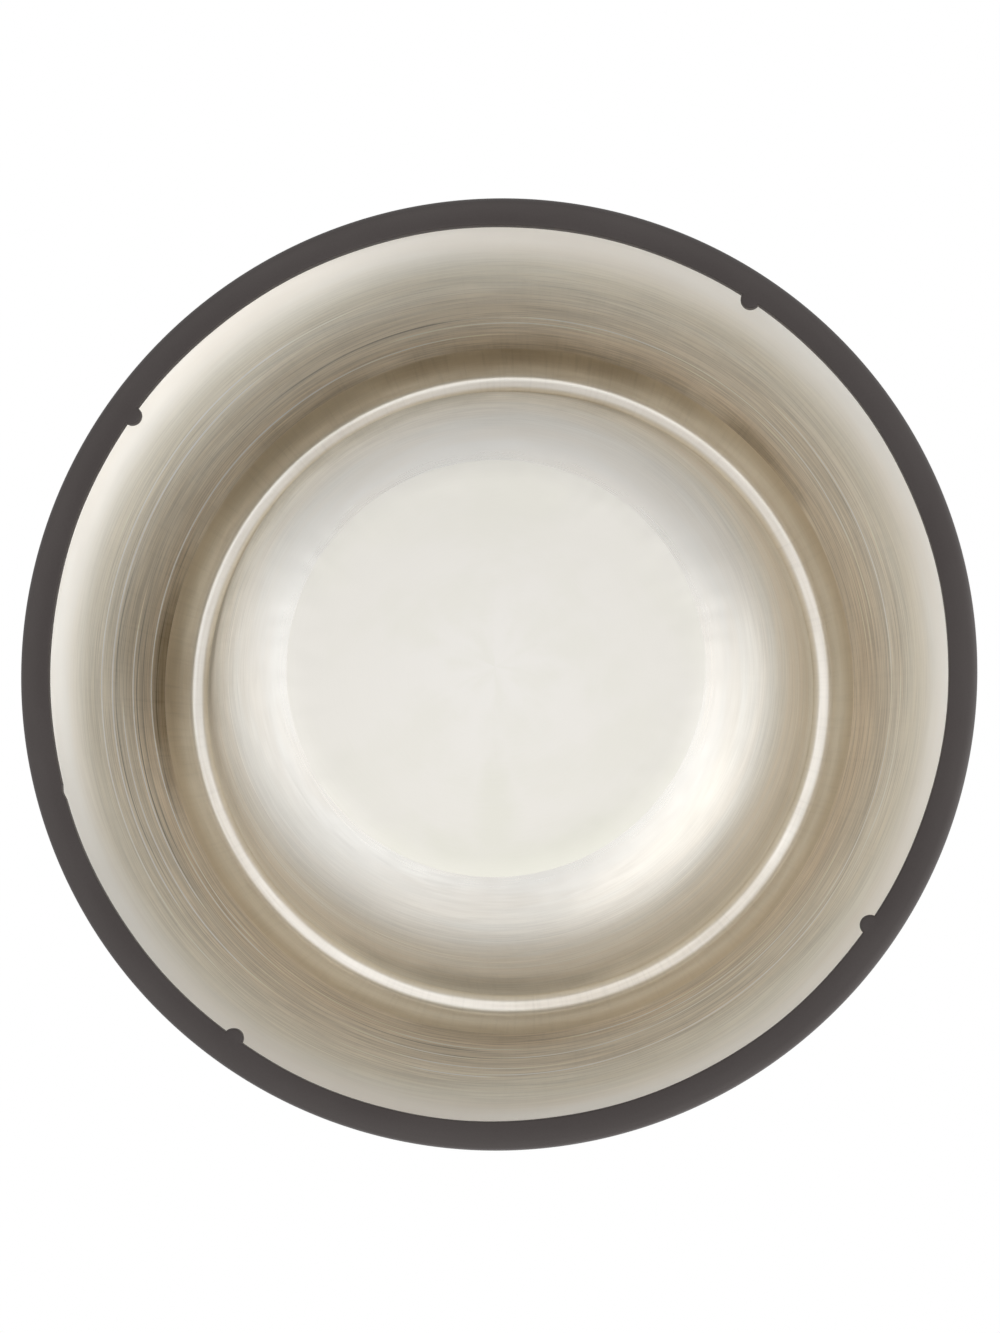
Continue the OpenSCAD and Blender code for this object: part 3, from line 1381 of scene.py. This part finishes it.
# Painted shade: patches that darken parts of the basin's wall round the axis
WALL_SHADE_PATCHES = (
    StainAndShadePatch(15, 84, 91 * MM, 12 * MM, 0.95),
    StainAndShadePatch(240, 34, 94 * MM, 6 * MM, 0.7),
)
# A line of painted shade in the crease inside the bead, painted shade on part of the rim's
# highlight, and patches on the bead's outer side that are partly stain and partly painted shade
GROOVE_STAINS_AND_SHADE = (
    StainAndShadePatch(35, 80, 95.6 * MM, 1.1 * MM, 0.6),
    StainAndShadePatch(205, 55, 99 * MM, 3 * MM, 0.35),
    StainAndShadePatch(325, 20, 104.5 * MM, 4 * MM, 0.4),
    StainAndShadePatch(15, 30, 104 * MM, 3.5 * MM, 0.3),
    StainAndShadePatch(60, 40, 105.5 * MM, 5 * MM, 0.6),
)
SKIRT_STAINS = (
    StainAndShadePatch(328, 30, 108.2 * MM, 3.6 * MM, 1.0),
    StainAndShadePatch(20, 24, 107.6 * MM, 3 * MM, 0.5),
    StainAndShadePatch(62, 36, 107 * MM, 4.5 * MM, 0.7),
    StainAndShadePatch(101, 15, 108 * MM, 4 * MM, 0.7),
    StainAndShadePatch(235, 25, 108 * MM, 4 * MM, 0.35),
    StainAndShadePatch(335, 34, 113 * MM, 8 * MM, 0.35),
)

FLOOR_TONES = ((0.0, CLEAN), (60 * MM, MILKY))
# Wall tones: warmer outwards, ending in painted shade in the crease under the rim
WALL_TONES = ((64 * MM, COOL), (76 * MM, WARM), (90 * MM, DULL), (95 * MM, CREASE_SHADE))
# Groove tones: painted shade in the crease, a painted highlight along the rim, painted light on the
# bead's outer side, then browner towards the skirt
GROOVE_TONES = (
    (96.5 * MM, CREASE_SHADE), (98 * MM, RIM_HIGHLIGHT), (101 * MM, RIM_HIGHLIGHT), (103.5 * MM, BEAD_LIGHT), (107 * MM, EARTH),
)
# Skirt tones: darker and browner towards the rim, partly stain and partly painted shade, and
# lighter towards the ring in painted light
SKIRT_TONES = (
    (107.3 * MM, EARTH), (110 * MM, UMBER), (116 * MM, SAND), (124 * MM, PALE), (131 * MM, SKIRT_EDGE_LIGHT),
)

INSIDE = SteelFinish(
    "steel_inside", ((0.0, WARM),), stain_and_shade_colour=GREY, roughness=(0.28, 0.28), climb=1.0, grain=1.5,
    brush_depth=0.08, cloud=0.2, dents=0.03 * MM, seed=40.0, anisotropy=0.8, line_depth=0.3,
    line_belt=(50 * MM, 120 * MM), band_depth=0.06, rosiness=0.3,
)
STEEL = {
    Zone.FLOOR: SteelFinish(
        "steel_floor", FLOOR_TONES, stain_and_shade_colour=OLIVE, roughness=(0.36, 0.36), climb=1.0, grain=1.0,
        brush_depth=0.004, cloud=0.3, dents=0.15 * MM, seed=0.0, waviness=3 * MM,
        dented=(46 * MM, 62 * MM), patches=FLOOR_SHADE_PATCHES,
    ),
    Zone.WALL: SteelFinish(
        "steel_wall", WALL_TONES, stain_and_shade_colour=SLATE, roughness=(0.25, 0.35), climb=1.0, grain=1.2,
        brush_depth=0.10, cloud=0.08, dents=0.15 * MM, seed=4.0, ends=(62 * MM, 69 * MM),
        anisotropy=0.95, line_depth=0.5, line_belt=(88 * MM, 12 * MM), band_depth=0.06,
        rosiness=0.4, streaks=0.06, waviness=2 * MM, marked=(66 * MM, 84 * MM),
        patches=WALL_SHADE_PATCHES,
    ),
    Zone.GROOVE: SteelFinish(
        "steel_groove", GROOVE_TONES, stain_and_shade_colour=BROWN, roughness=(0.34, 0.34), climb=-1.0,
        grain=1.2, brush_depth=0.03, cloud=0.12, dents=0.02 * MM, seed=8.0, line_depth=0.06,
        line_belt=(104 * MM, 6 * MM), band_depth=0.02, rosiness=0.25, streaks=0.15,
        waviness=0.4 * MM, patches=GROOVE_STAINS_AND_SHADE,
    ),
    Zone.SKIRT: SteelFinish(
        "steel_skirt", SKIRT_TONES, stain_and_shade_colour=BROWN, roughness=(0.40, 0.40), climb=-1.0, grain=2.0,
        brush_depth=0.26, cloud=0.08, dents=0.03 * MM, seed=12.0, anisotropy=0.9, line_depth=3.4,
        line_belt=(114 * MM, 9 * MM), band_depth=0.14, rosiness=0.4, streaks=0.12,
        waviness=0.8 * MM, marked=(131 * MM, 118 * MM), patches=SKIRT_STAINS,
    ),
    Zone.OUTSIDE: replace(
        INSIDE, name="steel_outside", climb=-1.0, line_belt=(110 * MM, 60 * MM), seed=20.0
    ),
    Zone.INSIDE: INSIDE,
}
# The rubber lightens towards its outer edge, partly dust and partly painted sheen
RUBBER = RubberFinish(
    "ring_rubber", colour=(0.042, 0.032, 0.030), dust_and_sheen_colour=(0.064, 0.053, 0.050),
    edge=(132 * MM, 138.5 * MM), roughness=0.55, grain_depth=0.03 * MM, sheen=0.15,
)


def main() -> None:
    """Builds the bowl, its ring and the studio."""
    logging.basicConfig(level=logging.INFO, format="%(message)s")
    foot_gap = 0.3 * MM
    _, ring_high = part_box("rubber_ring")
    sheet_low, sheet_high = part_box("steel_bowl")
    ring = RubberRing(outer_r=ring_high.x, top=ring_high.z)
    foot_r = ring.outer_r - ring.wall - foot_gap
    sheet = SteelSheet(top=sheet_high.z, foot_z=sheet_low.z, foot_r=foot_r)
    sheet.make(STEEL)
    ring.make(RUBBER)
    Studio().build()


if __name__ == "__main__":
    main()
